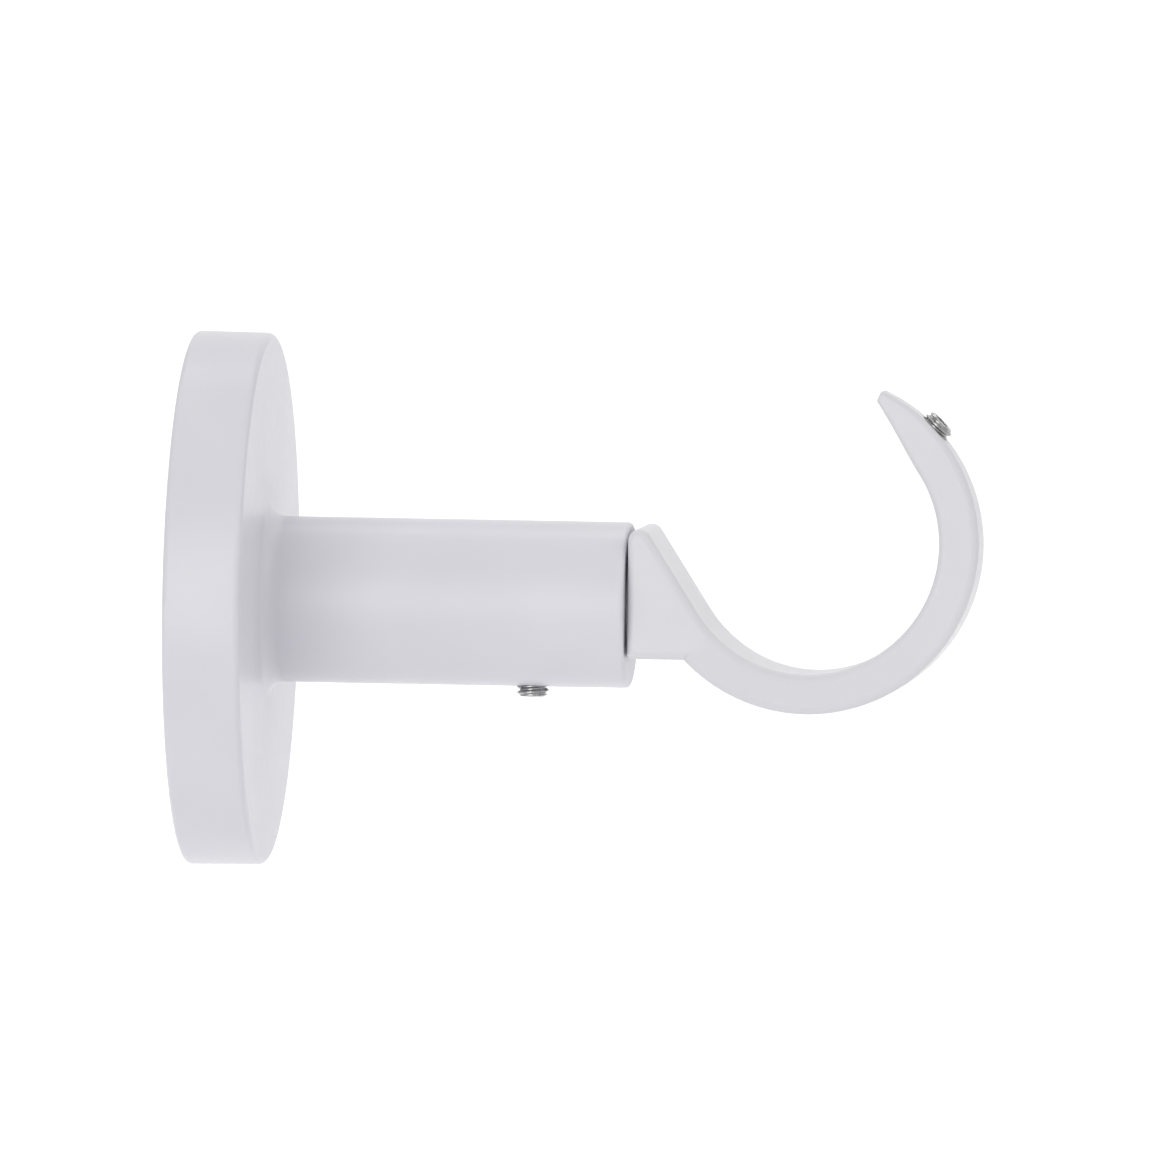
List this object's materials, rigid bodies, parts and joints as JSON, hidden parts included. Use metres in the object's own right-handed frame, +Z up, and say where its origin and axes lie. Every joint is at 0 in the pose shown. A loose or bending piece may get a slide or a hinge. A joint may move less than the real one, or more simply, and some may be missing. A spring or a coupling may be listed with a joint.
{
  "type": "curtain pole bracket",
  "caption": "Wall bracket for a round curtain pole: a round rose with a short arm, and a sliding open hook that is clamped by a set screw and holds the pole.",
  "frame": {"origin": "centre of the rose's back, in the plane of the wall", "axes": "+X out of the wall along the arm, +Y along the pole, +Z up"},
  "size_m": [0.0964, 0.065, 0.065],
  "materials": {
    "rose_paint": "satin white powder coat",
    "hook_paint": "satin white powder coat",
    "screw_steel": "bright zinc plated",
    "plate_steel": "zinc plated"
  },
  "bodies": {
    "bracket": {"base_arm": "rose_paint", "wall_plate": "plate_steel"},
    "hook": {"hook": "hook_paint"},
    "arm_screw": {"arm_grub_screw": "screw_steel"},
    "pole_screw": {"pole_grub_screw": "screw_steel"},
    "rim_screw": {"rim_grub_screw": "screw_steel"}
  },
  "joints": [
    {"name": "hook_slide", "type": "slide", "parent": "bracket", "child": "hook", "axis": [1, 0, 0], "range_m": [-0.00025, 0.02]},
    {"name": "arm_screw_travel", "type": "slide", "parent": "bracket", "child": "arm_screw", "axis": [0, 0, -1], "range_m": [0, 0.0025]},
    {"name": "pole_screw_travel", "type": "slide", "parent": "hook", "child": "pole_screw", "axis": [0.7193, 0, 0.6947], "range_m": [-0.004, 0.002]},
    {"name": "rim_screw_travel", "type": "slide", "parent": "bracket", "child": "rim_screw", "axis": [0, 0, -1], "range_m": [0, 0.003]}
  ]
}
